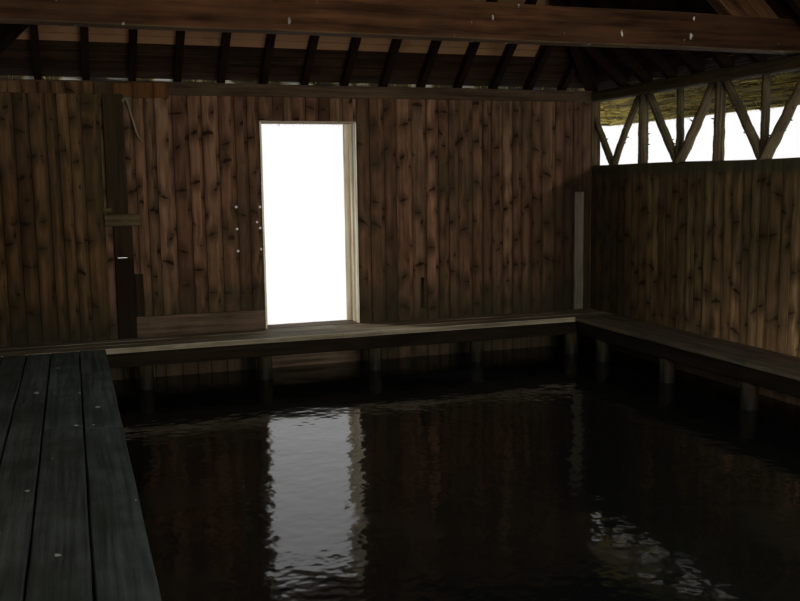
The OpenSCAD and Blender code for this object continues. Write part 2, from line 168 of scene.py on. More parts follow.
def woodLook(name, dark, light, mark=None, edge=None, grime=None, grain=None, rings=38.0, knots=0.0,
        foot=None, head=None, paintedFrontLight=None, cornerShade=None, wet=None, droppings=None, depth=0.0015, spread=0.5,
        sheen=0.3, contrast=0.18):
    # streaks and fibres run along V of the piece's own map, or along an axis of the object;
    # mark, edge and grime are a tone and its share, rings counts streaks across a metre
    look = Look(name)
    place = look.place()
    px, py, pz = look.parts(place)

    def over(mask, layer):
        return look.blend(mask * layer[3], colour, tone(*layer[:3]))

    def level(scale, detail, size):
        # height with a ragged line
        return pz + (look.noise(place, scale, detail) - 0.5) * size

    def span(dx, dy, across=1.0, up=1.0):
        return (dx * dx * across + dy * dy * up).math("SQRT")

    if grain is None:
        spot, own = look.grain(), look.attribute("tone")
    else:
        spot = look.stretched(place, (1, 1, 1), grain)
        own = look.noise(spot, (2.2, 0.25, 2.2), 0.0)
    x, y, z = look.parts(spot)
    drift = (look.noise(spot, (3.0, 0.8, 3.0), 1.0) - 0.5) * 0.05
    if knots:
        # whorls: a knot with spikes to both sides, and grain that swings round it
        wide, tall = 8.2, 2.5  # cells a metre
        cells = look.node("TexVoronoi", {"Vector": look.stretched(spot, (wide, tall, 1.0)), "Scale": 1.0,
            "Randomness": 0.85}, voronoi_dimensions="2D")
        cx, cy, cz = look.parts(cells["Position"])
        pick, large, lean = look.parts(cells["Color"])
        ragged = (look.noise(spot, (90.0, 60.0, 1.0), 1.0) - 0.5) * 0.012
        dx = x - cx / wide
        dy = (y - cy / tall) + dx * (lean - 0.6) * 1.1 + dx * dx * (large - 0.4) * 8 + ragged
        there = pick.below(knots)
        radius = 0.014 + large * large * 0.016
        spike = (1 - (span(dx, dy, 0.024) / radius).rise(0.25, 0.8)) * lean.rise(0.2, 0.35) * there
        knot = (1 - (span(dx, dy, 0.45) / radius).rise(0.5, 1.05)) * there
        halo = (1 - span(dx, dy, 0.6, 0.35).rise(0.0, 0.085)) * there
        drift = drift - dx * halo * 0.8
    ring = look.noise(look.joined(x + drift, y, z), (rings, 1.0, rings), 2.0, 0.55)
    fibre = look.noise(spot, (300.0, 5.0, 300.0))
    patch = look.noise(spot, (5.0, 0.6, 5.0))
    blotch = look.noise(spot, (9.0, 3.5, 9.0), 3.0, 0.6)
    shade = ring * 0.45 + fibre * 0.2 + patch * 0.3 + blotch * 0.25
    colour = look.blend(shade.rise(0.6 - contrast, 0.6 + contrast), tone(*dark), tone(*light))
    tint = look.blend((own * 7.3).math("FRACT"), (1.05, 0.97, 0.9, 1), (0.95, 1.01, 0.93, 1))
    colour = look.blend(1.0, colour, tint, "MULTIPLY")
    colour = look.blend(1.0, colour, (1 - spread * 0.55) + own * spread, "MULTIPLY")
    if mark:
        colour = over(look.attribute("mark"), mark)
    if knots:
        colour = over(halo, (*dark, 0.8))
        colour = over(knot.math("MAXIMUM", spike) * (0.45 + blotch * 0.75), (24, 15, 9, 1.0))
    # edges: wear and dark joints, with painted light on the tie beams' undersides and the back planks' edges
    if edge:
        wearAndLight = look.noise(spot, (30.0, 3.0, 30.0)).rise(0.25, 0.6) * 0.6 + 0.4
        colour = over(look.attribute("edge") * wearAndLight, edge)
    if grime:
        colour = over(look.noise(place, (1.7, 1.7, 1.2), 4.0, 0.62).rise(0.46, 0.68), grime)
    if foot:
        # damp and moss climb from the level low to the level high
        low, high = foot["height"]
        colour = over(1 - level((6.0, 6.0, 2.0), 3.0, 0.5).rise(low, high), foot["tone"])
    if head:
        # a darker band under the level top: painted shade under the rail, and painted shade with some damp
        # under the plate
        top = head["height"]
        colour = over(level((9.0, 9.0, 3.0), 3.0, 0.16).rise(top - 0.16, top - 0.07), head["tone"])
    if paintedFrontLight:
        # painted light: the room side is paler low down, away from the back corner towards the open front
        low = 1 - level((6.0, 6.0, 1.0), 2.0, 0.3).rise(*paintedFrontLight["height"])
        low = low * (halfL - py).rise(*paintedFrontLight["from"]) * px.math("ABSOLUTE").below(halfW + wallThick / 2)
        colour = look.blend(low, colour, paintedFrontLight["gain"], "MULTIPLY")
    if cornerShade:
        # painted shade in the room's back corner: darker near the upright edge at x, y and under a sloping
        # line, the edge of the shadow below the rail
        dx, dy = cornerShade["x"] - px, cornerShade["y"] - py
        near = 1 - span(dx, dy).rise(cornerShade["near"], cornerShade["far"])
        near = near * (1 - (pz + dx * cornerShade["fall"] + ragged * 4).rise(cornerShade["top"] - 0.07, cornerShade["top"]))
        near = near * (1 - (0 - dy).rise(0.02, 0.03)) * (1 - (0 - dx).rise(0.02, 0.03))
        colour = over(near, cornerShade["tone"])
    roughness = 0.82 + (shade - 0.6) * 0.25
    if droppings:
        # round spots about some of the centres of a Voronoi pattern
        scale, size, chance = droppings
        shaken = look.node("TexNoise", {"Vector": place, "Scale": 45.0})["Color"]
        shaken = look.node("VectorMath", {0: place, 1: shaken}, operation="ADD")[0]
        shaken = look.stretched(look.blend(0.03, place, shaken), scale)
        cells = look.node("TexVoronoi", {"Vector": shaken, "Scale": 1.0})
        pick, large, other = look.parts(cells["Color"])
        rim = cells["Distance"] / (size * (0.35 + large))
        splash = (1 - rim.rise(0.75, 1.0)) * pick.below(chance)
        splash = splash * look.noise(place, (1.1, 1.1, 1.1), 1.0).rise(0.44, 0.56)
        colour = over(splash, (206, 202, 188, 0.85))
    if wet:
        soaked = 1 - pz.rise(wet - 0.05, wet + 0.12)
        colour = over(soaked, (16, 17, 13, 0.65))
        roughness = roughness - soaked * 0.5
    height = ring * 0.7 + fibre * 0.5
    if knots:
        height = height - knot * 0.4
    return look.finish(colour, roughness, height, depth, **{"Specular IOR Level": sheen})


# Arrays for the meshes: a shell is points, faces with their UVs, and values of each point
join, seeded = np.concatenate, np.random.default_rng


def at(*parts):
    # points from coordinates that are arrays or single numbers
    return np.stack(np.broadcast_arrays(*parts), -1)


def unit(vectors):
    return vectors / np.linalg.norm(vectors, axis=-1, keepdims=True)


def addPiece(name, shells, look, *nodes, smooth=False, slot=None):
    # stacks shells into one mesh, puts the piece on the root and hides the nodes it stands for
    start, faces = 0, []
    for shell in shells:
        faces += [part + start for part in shell["faces"]]
        start += len(shell["points"])
    corners = join([part.ravel() for part in faces])
    counts = join([np.full(len(part), part.shape[1]) for part in faces])
    mesh = bpy.data.meshes.new(name)
    mesh.vertices.add(start)
    points = join([shell["points"] for shell in shells])
    mesh.vertices.foreach_set("co", points.astype(np.float32).ravel())
    mesh.loops.add(len(corners))
    mesh.loops.foreach_set("vertex_index", corners.astype(np.int32))
    mesh.polygons.add(len(counts))
    mesh.polygons.foreach_set("loop_start", join([[0], counts.cumsum()[:-1]]).astype(np.int32))
    mesh.polygons.foreach_set("use_smooth", np.full(len(counts), smooth))
    grain = join([part.reshape(-1, 2) for shell in shells for part in shell["uv"]])
    mesh.uv_layers.new(name="grain").data.foreach_set("uv", grain.astype(np.float32).ravel())
    for key in ("tone", "mark", "edge"):
        values = join([shell[key] for shell in shells])
        mesh.attributes.new(key, "FLOAT", "POINT").data.foreach_set("value", values.astype(np.float32))
    mesh.update(calc_edges=True)
    mesh.validate()
    material, usualSlot = looks[look]
    mesh.materials.append(material)
    piece = bpy.data.objects.new(name, mesh)
    bpy.context.scene.collection.objects.link(piece)
    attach(piece, "root")
    if nodes:
        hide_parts(*nodes)


def weave(points, grain, flat, own, mark, edge):
    # faces round closed profiles: points are lines x stations x profile, grain their map with the first
    # column again at the end, flat the map of the two end caps
    number = np.arange(points[..., 0].size).reshape(points.shape[:3])

    def corners(near, far):
        return np.stack([near[:, :-1], far[:, :-1], far[:, 1:], near[:, 1:]], 3)

    values = {key: np.broadcast_to(value, number.shape).ravel().astype(float)
        for key, value in (("tone", own), ("mark", mark), ("edge", edge))}
    return {"points": points.reshape(-1, 3), **values,
        "faces": [corners(number, np.roll(number, -1, 2)).reshape(-1, 4),
            join([number[:, 0, ::-1], number[:, -1]])],
        "uv": [corners(grain[:, :, :-1], grain[:, :, 1:]),
            join([flat[:, 0, ::-1], flat[:, -1]])]}


def tube(centre, side, up, across, height, edge, rng, lengths, toneRange=(0.0, 1.0), mark=0.0):
    # a closed profile carried along a path: point = centre + side * across + up * height.
    # centre is lines x stations x 3, across and height lines x stations x profile points
    lines, stations, count = across.shape
    points = centre[:, :, None] + across[..., None] * side[:, :, None] + height[..., None] * up[:, :, None]
    first = across[:, 0], height[:, 0]
    step = np.hypot(*(np.roll(part, -1, 1) - part for part in first))
    u = join([np.zeros((lines, 1)), step.cumsum(1)], 1) + rng.uniform(0, 40, (lines, 1))
    v = np.linspace(0, 1, stations) * lengths[:, None] + rng.uniform(0, 40, (lines, 1))
    own = rng.uniform(*toneRange, (lines, 1, 1))
    return weave(points, at(u[:, None], v[..., None]), at(across, height) + v[0, 0], own,
        np.reshape(mark, (-1, 1, 1)), edge)


def ruled(starts, ends, stations, side=None):
    # straight lines: their stations, two directions square to them and their lengths
    starts, ends = (np.atleast_2d(spots).astype(float) for spots in (starts, ends))
    run = ends - starts
    along = unit(run)
    if side is None:
        side = np.where(np.abs(along[:, :1]) > 0.9, [[0.0, 1.0, 0.0]], [[1.0, 0.0, 0.0]])
    side = unit(side - (side * along).sum(-1, keepdims=True) * along)
    centre = starts[:, None] + np.linspace(0, 1, stations)[:, None] * run[:, None]
    return centre, side[:, None], np.cross(along, side)[:, None], np.linalg.norm(run, axis=1)


def waves(rng, count, t, size):
    # a slow random bend for each of count lines: two sines with random phase and pace
    pace = rng.uniform(1.0, 4.5, (count, 2, 1))
    phase = rng.uniform(0, 2 * pi, (count, 2, 1))
    return size * 0.5 * np.sin(2 * pi * pace * t + phase).sum(1)


def bars(starts, ends, side, width, depth, seed, chamfer=0.004, stations=2, waver=0.0, soft=0.0, **rest):
    # squared timber: a rectangle with rounded corners, 12 points, carried from start to end;
    # soft is the width of a band along the corners over which the edge value fades
    rng = seeded(seed)
    centre, side, up, lengths = ruled(starts, ends, stations, side)
    lines = len(centre)
    w, d = (np.broadcast_to(size, lines)[:, None] / 2 for size in (width, depth))
    c = np.minimum(chamfer, np.minimum(w, d) * 0.9)
    m = c * 0.3
    across = [w - c, w - m, w, w, w - m, w - c]
    height = [-d, -d + m, -d + c, d - c, d - m, d]
    edge = [0, 1, 0, 0, 1, 0]
    if soft:
        flat = w - c - np.minimum(soft, (w - c) * 0.8)
        across, height = [flat, *across, flat], [-d, *height, d]
        edge = [0, 0.8, 1, 1, 1, 1, 0.8, 0]
    across, height = (join(half + [-part for part in half], 1) for half in (across, height))
    bend = [waves(rng, lines, np.linspace(0, 1, stations), waver)[..., None] for part in range(3)]
    grow = 1 + bend[2] * 0.5 / np.maximum(w, d)[:, None]
    edge = np.tile(edge, 2)
    if soft:
        edge = edge * rng.uniform(0.5, 1.0, (lines, 1, 1))
    return tube(centre + bend[0] * side + bend[1] * up, side, up, across[:, None] * grow,
        height[:, None] * grow, edge, rng, lengths, **rest)


def blockBars(low, high, axis, seed, **shape):
    # one bar that fills a box, with its grain along the axis
    low, high = np.array(low, float), np.array(high, float)
    start, end = (low + high) / 2, (low + high) / 2
    start[axis], end[axis] = low[axis], high[axis]
    wide, deep = (axis + 1) % 3, (axis + 2) % 3
    return bars(start, end, np.eye(3)[wide], (high - low)[wide], (high - low)[deep], seed, **shape)


def poles(starts, ends, startSize, endSize, seed, sides=12, stations=24, bow=0.012, lumps=0.06, flakes=0.0):
    # round barked poles: a circle whose radius has lumps, carried along a slightly bowed line;
    # radius = size/2 * (1 + lumps * sines of the angle and the place along + flakes * chance)
    rng = seeded(seed)
    centre, side, up, lengths = ruled(starts, ends, stations)
    lines = len(centre)
    t = np.linspace(0, 1, stations)
    hump = np.sin(pi * t)
    off = [(rng.uniform(-bow, bow, (lines, 1)) * hump + waves(rng, lines, t, bow * 0.35) * hump)[..., None]
        for part in range(2)]
    angle = np.arange(sides) / sides * 2 * pi
    bump = np.zeros((lines, stations, sides))
    for turns, pace in ((2, 1.5), (3, 4.0), (5, 9.0)):
        phase = rng.uniform(0, 2 * pi, (2, lines, 1, 1))
        swing = 2 * np.sin(pace * t[:, None] * lengths[:, None, None] * 2 + phase[1])
        bump += np.sin(turns * angle + phase[0] + swing)
    size = np.broadcast_to(startSize + (endSize - startSize) * t, (lines, stations))[..., None]
    radius = size / 2 * (1 + lumps * bump / 2 + flakes * rng.normal(size=bump.shape).clip(-2, 1.5))
    centre = centre + off[0] * side + off[1] * up
    return tube(centre, side, up, radius * np.cos(angle), radius * np.sin(angle), 0.0, rng, lengths)


def stubs(starts, ends, size, share, seed):
    # cut branches on poles: short tapered poles that leave the axis sideways and lean up along it
    rng = seeded(seed)
    line = np.repeat(np.arange(len(starts)), share)
    each = (len(line), 1)
    run = (ends - starts)[line]
    roots = starts[line] + run * rng.uniform(0.12, 0.88, each)
    out = unit(np.cross(run, rng.normal(size=(len(line), 3))))
    tips = roots + out * (size / 2 + rng.uniform(0.006, 0.022, each))
    tips += unit(run) * rng.uniform(0, 0.03, each)
    thick = rng.uniform(0.016, 0.028, each)
    return poles(roots, tips, thick, 0.01, seed + 1, sides=6, stations=4, bow=0.0)


def splitRun(low, high, mean, spread, rng):
    # joints between boards of random width that together fill the run
    count = max(1, round((high - low) / mean))
    widths = 1 + rng.uniform(-spread, spread, count)
    return low + join([[0], (widths / widths.sum()).cumsum()]) * (high - low)


print("tools ready")

# Materials: slot, dark and light tone, and what differs from plain wood
knotty = dict(mark=(16, 11, 7, 1.0), knots=0.9, rings=26.0, spread=0.6, contrast=0.24)
trodden = dict(spread=0.4, sheen=0.5)
# painted shade in the back corner, under the sloping edge of the shadow below the rail
paintedCornerShade = dict(x=halfW, y=halfL, near=0.2, far=0.95, fall=0.44, top=railTop, tone=(34, 28, 18, 0.72))
woods = {
    "wallBoards": ("wall_boards", (56, 39, 26), (138, 103, 79), dict(knotty, edge=(40, 23, 14, 0.92),
        grime=(62, 54, 34, 0.42), cornerShade=paintedCornerShade,
        foot=dict(height=(0.45, 1.05), tone=(42, 43, 30, 0.75)))),
    "sideWallBoards": ("wall_boards", (56, 45, 28), (136, 110, 76), dict(knotty, edge=(30, 21, 12, 0.9),
        grime=(54, 50, 30, 0.5), cornerShade=paintedCornerShade, foot=dict(height=(0.05, 0.6), tone=(74, 62, 44, 0.75)),
        # painted shade under the rail
        head=dict(height=railTop, tone=(60, 60, 40, 0.8)),
        # painted light low down on the room side
        paintedFrontLight={"height": (0.45, 1.45), "from": (0.8, 3.6), "gain": (3.1, 2.9, 3.3, 1)})),
    "linerBoards": ("wall_boards", (46, 34, 21), (122, 92, 62), dict(knotty, edge=(34, 22, 12, 0.92),
        grime=(56, 51, 31, 0.5), foot=dict(height=(0.45, 1.05), tone=(40, 40, 27, 0.75)))),
    "coverBoards": ("wall_boards", (66, 42, 22), (114, 76, 42),
        dict(edge=(34, 20, 10, 0.9), grime=(70, 56, 34, 0.35))),
    "sillTimber": ("sill_timber", (60, 48, 36), (112, 92, 76),
        dict(edge=(112, 92, 72, 0.25), grime=(52, 46, 32, 0.45))),
    "railTimber": ("sill_timber", (34, 26, 15), (70, 58, 38),
        dict(edge=(78, 68, 46, 0.3), grime=(48, 46, 30, 0.5), depth=0.004)),
    # near white: pale wood, partly painted light from outside
    "doorLining": ("door_lining", (190, 176, 146), (252, 247, 232),
        dict(mark=(128, 104, 82, 1.0), edge=(150, 128, 98, 0.4), spread=0.7)),
    "darkTimber": ("dark_timber", (36, 27, 16), (78, 60, 40),
        dict(mark=(22, 17, 12, 1.0), grime=(42, 40, 26, 0.4))),
    "blockTimber": ("sill_timber", (48, 41, 26), (94, 82, 56), dict(edge=(60, 52, 34, 0.3))),
    "plateTimber": ("sill_timber", (50, 39, 28), (98, 78, 60),
        dict(edge=(104, 86, 66, 0.25), grime=(52, 46, 32, 0.45))),
    "cornerPosts": ("dark_timber", (50, 38, 26), (112, 90, 66), dict(grime=(58, 50, 32, 0.4))),
    "paleWood": ("pale_wood", (84, 78, 66), (132, 124, 106), dict(edge=(70, 60, 44, 0.3))),
    "rusticPoles": ("rustic_poles", (34, 28, 20), (124, 110, 84), dict(rings=60.0, grime=(74, 72, 46, 0.35),
        # painted shade with some damp under the plate
        depth=0.01, head=dict(height=plateLow + 0.06, tone=(26, 21, 14, 0.6)))),
    # the left planks are darker, partly painted shade; the back planks are paler, partly painted light, with
    # painted highlights on their edges
    "walkwayPlanks": ("walkway_planks", (48, 55, 53), (100, 110, 106), dict(trodden, edge=(18, 18, 15, 0.9),
        grime=(48, 54, 44, 0.6), droppings=((9.0, 5.0, 4.0), 0.13, 0.55))),
    "backPlanks": ("walkway_planks", (80, 70, 56), (150, 136, 114),
        dict(trodden, edge=(196, 184, 158, 0.8), grime=(74, 68, 54, 0.5))),
    "rightPlanks": ("walkway_planks", (54, 48, 38), (112, 100, 82),
        dict(trodden, edge=(18, 18, 15, 0.8), grime=(50, 47, 36, 0.5))),
    # near black: dark timber, partly painted shade under the planks
    "bearerTimber": ("dark_timber", (20, 16, 11), (46, 37, 26), dict(grime=(24, 24, 16, 0.4))),
    "pileTimber": ("pile_timber", (32, 27, 19), (66, 58, 44), dict(wet=0.14, depth=0.004)),
    "roofTimber": ("roof_timber", (36, 21, 12), (98, 66, 42), dict(mark=(22, 13, 7, 0.6), rings=22.0,
        edge=(118, 100, 72, 0.45), grime=(52, 36, 24, 0.5), droppings=((17.0, 9.0, 6.0), 0.2, 0.6),
        depth=0.004)),
    "roofBoarding": ("roof_boarding", (24, 16, 11), (56, 39, 27), dict(mark=(152, 114, 80, 1.0),
        edge=(12, 8, 5, 0.85), grime=(28, 25, 17, 0.4), sheen=0.1)),
}
# CAD rafters keep their meshes, so their grain follows the object's own axes
for name, turn in (("rafterXTimber", (0, 0, pi / 2)), ("rafterYTimber", (0, 0, 0))):
    woods[name] = (None, (16, 10, 7), (38, 26, 17), dict(grain=turn, grime=(24, 21, 14, 0.3), sheen=0.1))
looks = {name: (woodLook(name, dark, light, **rest), slot)
    for name, (slot, dark, light, rest) in woods.items()}
print("materials ready")

# Walls: an inner and an outer skin of vertical boards on a dark core
walls = {"board": 0.124, "spread": 0.25, "skin": 0.022, "gap": 0.002, "chamfer": 0.0035, "jitter": 0.005,
    "soft": 0.032, "outerBoards": 1.25}


def skin(axis, joints, face, inward, bottom, top, seed):
    # upright boards between the joints along an axis; their seen side is at face
    rng = seeded(seed)
    middle = (joints[1:] + joints[:-1]) / 2
    ends = np.zeros((2, len(middle), 3))
    ends[:, :, axis] = middle
    lie = walls["skin"] / 2 + rng.uniform(0, walls["jitter"], len(middle))
    ends[:, :, 1 - axis] = face + inward * lie
    ends[0, :, 2], ends[1, :, 2] = bottom, top
    return bars(*ends, np.eye(3)[axis], np.diff(joints) - walls["gap"], walls["skin"], seed + 1,
        chamfer=walls["chamfer"], soft=walls["soft"])


def wallShells(axis, low, high, face, bottom, top, seed, joints=None, roomTop=None):
    # both skins and the core of a wall whose room side is at face; the room's boards may end higher
    rng = seeded(seed)
    outward = np.sign(face)
    outFace = face + outward * wallThick
    if joints is None:
        joints = splitRun(low, high, walls["board"], walls["spread"], rng)
    outJoints = splitRun(low, high, walls["board"] * walls["outerBoards"], walls["spread"], rng)
    inset = outward * (walls["skin"] + walls["jitter"] + 0.001)
    core = np.zeros((2, 3))
    core[:, axis] = low + 0.002, high - 0.002
    core[:, 1 - axis] = sorted((face + inset, outFace - inset))
    core[:, 2] = bottom, top - 0.004
    return [skin(axis, joints, face, outward, bottom, roomTop or top, seed + 2),
        skin(axis, outJoints, outFace, -outward, bottom, top, seed + 5),
        blockBars(*core, 2, seed + 8, mark=1.0)]


def backShells(low, high, bottom, top, seed, joints=None):
    return wallShells(0, low, high, halfL, bottom, top, seed, joints)


# The back wall; a level slit of light goes through it and the post in front
slit = {"x": (-1.89, -1.803), "z": (floorZ + 0.743, floorZ + 0.757)}
doorGap = 0.006
slitLow, slitHigh = slit["z"]
leftEdge, rightEdge = doorLow[0] - doorGap, doorHigh[0] + doorGap
strip = np.array(slit["x"])  # the wall's boards over and under the slit are as wide as it is
addPiece("back_wall_left_boards", backShells(-halfW, strip[0], 0.0, plateLow, 40)
    + backShells(*strip, 0.0, slitLow, 50, strip) + backShells(*strip, slitHigh, plateLow, 70, strip)
    + backShells(strip[1], leftEdge, 0.0, plateLow, 60), "wallBoards", "back_wall_left")

# A liner of boards in front of the left part, and short upright boards nailed over the plate
liner = {"end": -1.985, "proud": 0.044, "top": plateLow - 0.006, "footPlay": 0.03}
joints = splitRun(-halfW + 0.004, liner["end"], walls["board"], walls["spread"], seeded(31))
foot = floorZ + seeded(32).uniform(0.0, liner["footPlay"], len(joints) - 1)
addPiece("back_wall_liner_boards", [skin(0, joints, halfL - liner["proud"], 1, foot, liner["top"], 33)],
    "linerBoards")
cover = {"low": plateLow - 0.03, "high": plateTop - 0.012, "proud": 0.023, "spread": 0.2,
    "left": (-3.09, -2.025, 0.125, "linerBoards"), "right": (-1.864, -1.369, 0.165, "coverBoards"),
    "dark": (-2.02, -1.869, 0.151, "darkTimber")}
for number, label in enumerate(("left", "right", "dark")):
    low, high, mean, look = cover[label]
    rng = seeded(36 + number)
    joints = splitRun(low, high, mean, cover["spread"], rng)
    foot = cover["low"] + rng.uniform(-0.01, 0.01, len(joints) - 1)
    if label == "left":
        foot = np.maximum(foot, liner["top"] + 0.002)
    top = cover["high"] - rng.uniform(0, 0.012, len(joints) - 1)
    face = nodeBox["back_plate"][0][1] - cover["proud"]
    addPiece("plate_cover_" + label, [skin(0, joints, face, 1, foot, top, 38 + number)], look)

# Right of the doorway the boards are darker near the corner with painted shade, and a lath covers a gap low
# down
lath = {"low": (1.103, halfL - 0.008, floorZ + 0.11), "high": (1.138, halfL + 0.004, floorZ + 0.43)}
paintedCornerDark = {"from": 2.45, "over": 0.5, "share": 0.32}
rightShells = backShells(rightEdge, halfW, 0.0, plateLow, 70)
x = rightShells[0]["points"][:, 0]
rightShells[0]["mark"] = np.clip((x - paintedCornerDark["from"]) / paintedCornerDark["over"], 0, 1) * paintedCornerDark["share"]
rightShells.append(blockBars(lath["low"], lath["high"], 2, 76, mark=1.0, stations=6, waver=0.002))
addPiece("back_wall_right_boards", rightShells, "wallBoards", "back_wall_right")
addPiece("back_wall_door_head_boards", backShells(leftEdge, rightEdge, doorHigh[2] + 0.002, plateLow, 80),
    "wallBoards", "back_wall_over_door")
bothSides = ((1, "right"), (-1, "left"))
for side, label in bothSides:
    shells = wallShells(1, -halfL, halfL, side * halfW, 0.0, railLow, 90 + side, roomTop=railTop - 0.01)
    addPiece(label + "_wall_board_skins", shells, "sideWallBoards", label + "_wall_boards")
print("walls ready")

# Squared timber that fills its node's box: axis of its grain, look, corner, waver, stations
squared = {
    "back_wall_under_door": (0, "sillTimber", 0.01, 0.001, 8),
    **dict.fromkeys(("right_sill_rail", "left_sill_rail"), (1, "railTimber", 0.012, 0.004, 60)),
    **dict.fromkeys(("back_plate", "front_plate"), (0, "plateTimber", 0.01, 0.003, 50)),
    **dict.fromkeys(("right_plate", "left_plate"), (1, "railTimber", 0.034, 0.007, 90)),
    "pale_batten": (2, "paleWood", 0.004, 0.002, 12),
}
for number, (node, (axis, look, chamfer, waver, stations)) in enumerate(squared.items()):
    shape = dict(chamfer=chamfer, waver=waver, stations=stations)
    addPiece(node + "_timber", [blockBars(*nodeBox[node], axis, 200 + number, **shape)], look, node)


def boxesPiece(name, boxes, axis, look, node, seed, marks=0.0, **shape):
    # several squared timbers of one node, each given by its lowest and highest corner
    marks = np.broadcast_to(marks, len(boxes))
    shells = [blockBars(*box, axis, seed + number, mark=marks[number], **shape)
        for number, box in enumerate(boxes)]
    addPiece(name, shells, look, node)


# The sill at the wall's foot, the post on the wall with a strip beside it, the block across it
sill = {"high": 0.195, "proud": 0.04}
post = {"foot": (-1.915, -1.75), "head": (-1.957, -1.778), "joint": floorZ + 1.102, "proud": 0.045,
    "strip": (-1.745, -1.672), "stripHigh": 0.4, "stripProud": 0.026}
block = {"low": (-1.99, floorZ + 1.047), "high": (-1.678, floorZ + 1.157), "proud": 0.09,
    "chip": (0.065, 0.06, 0.075)}  # a chip of wood on its left end
sillTop, postY = floorZ + sill["high"], halfL - post["proud"]
low, high = post["foot"]
boxesPiece("back_sill_timber", [((high, halfL - sill["proud"], floorZ), (leftEdge, halfL, sillTop))],
    0, "sillTimber", "back_sill", 240, chamfer=0.008, waver=0.002, stations=30)
# the marks darken the post with painted shadow, darkest at its foot, none on its head
boxesPiece("wall_post_timbers", [
    ((low, postY, floorZ), (high, halfL, slitLow)), ((low, postY, slitHigh), (high, halfL, post["joint"])),
    ((low, postY, slitLow), (strip[0], halfL, slitHigh)),
    ((strip[1], postY, slitLow), (high, halfL, slitHigh)),
    ((post["head"][0], postY, post["joint"]), (post["head"][1], halfL, plateLow)),
    ((post["strip"][0], halfL - post["stripProud"], sillTop),
        (post["strip"][1], halfL, sillTop + post["stripHigh"]))],
    2, "darkTimber", "wall_post", 250, (0.85, 0.4, 0.6, 0.6, 0.0, 0.6), chamfer=0.005, waver=0.0015,
    stations=14)
(low, foot), (high, top) = block["low"], block["high"]
chipWide, chipHigh, chipProud = block["chip"]
boxesPiece("cross_block_timber", [((low, halfL - block["proud"], foot), (high, postY, top)),
    ((low - 0.01, halfL - chipProud, top + 0.012), (low + chipWide, postY, top + chipHigh))],
    0, "blockTimber", "cross_block", 260, chamfer=0.01, waver=0.002, stations=10)

# The doorway's lining: strips across the depth of each jamb and of the head, a stop at the outer end
lining = {
    "thick": 0.015, "stop": 0.049, "headBrown": 0.85,
    "strips": [  # depth from the room side, how far it lies back, share of brown, tone; the brown and the tone are painted shade and light, darkest on the set-back strip
        (0.0, 0.065, 0.0, 0.0, 0.9), (0.065, 0.137, 0.006, 0.35, 0.5),
        (0.137, 0.23, 0.0, 0.0, 1.0), (0.23, 0.265, 0.0, 0.25, 0.85)],
}
strips, thick = [], lining["thick"]
inLeft, inRight, inTop = doorLow[0] + thick, doorHigh[0] - thick, doorHigh[2] - thick
for number, (near, far, back, brown, bright) in enumerate(lining["strips"]):
    y0, y1 = halfL + near, halfL + far
    stop = lining["stop"] if number == 3 else 0.0
    for low, high, axis, seed, mark in (
            ((doorLow[0], y0, floorZ), (inLeft - back + stop, y1, inTop), 2, 270, brown),
            ((inRight + back - stop, y0, floorZ), (doorHigh[0], y1, inTop), 2, 280, brown),
            ((doorLow[0], y0, inTop + back), (doorHigh[0], y1, doorHigh[2]), 0, 290, lining["headBrown"])):
        strips.append(blockBars(low, high, axis, seed + number, chamfer=0.003, waver=0.0006, stations=24,
            mark=mark, toneRange=(bright, bright)))
addPiece("door_lining_strips", strips, "doorLining", "door_frame")
print("squared timber ready")

# Round poles: lattices over the rails, posts and slanting poles at the boat entrance
lattice = {"first": 0.9, "posts": 8, "post": 0.1, "brace": 0.09, "upright": 0.074, "branches": 7,
    "endFoot": 0.353, "endOut": 0.3999, "endIn": 0.49, "endDrop": 0.14, "bed": 0.025}
postYs = halfL - lattice["first"]
postYs = postYs - np.arange(lattice["posts"]) * 2 * postYs / (lattice["posts"] - 1)
lean = (postYs[0] - postYs[1]) / 2 - lattice["post"] / 2 - lattice["brace"] / 5
bayYs = (postYs[1:] + postYs[:-1]) / 2
ends = np.array([-1, 1])
endYs = ends * (halfL - lattice["endFoot"])
endTop, high = plateLow - lattice["endDrop"], plateLow + lattice["bed"]
brace, endBrace = lattice["brace"], lattice["brace"] * 0.85
rods = (  # feet, tops, height of the tops, size, its share left at the top, bow
    (postYs, postYs, high, lattice["post"], 0.96, 0.006),
    (bayYs, bayYs - lean, high, brace * 1.08, 0.86, 0.01),
    (bayYs, bayYs + lean, high, brace * 0.96, 0.9, 0.01),
    (bayYs, bayYs, high, lattice["upright"], 0.94, 0.01),
    (endYs, endYs + ends * lattice["endOut"], endTop, endBrace, 0.9, 0.006),
    (endYs, endYs - ends * lattice["endIn"], high, endBrace, 0.9, 0.01))
for side, label in bothSides:
    x, shells = side * (halfW + wallThick / 2), []
    for number, (footYs, topYs, top, thick, taper, bow) in enumerate(rods):
        seed = 301 + 10 * side + number
        feet, tops = at(x, footYs, railTop - lattice["bed"]), at(x, topYs, top)
        shells += [poles(feet, tops, thick, thick * taper, seed, stations=44, flakes=0.022, bow=bow),
            stubs(feet, tops, thick, lattice["branches"], seed + 50)]
    addPiece(label + "_lattice_poles", shells, "rusticPoles", label + "_lattice", smooth=True)

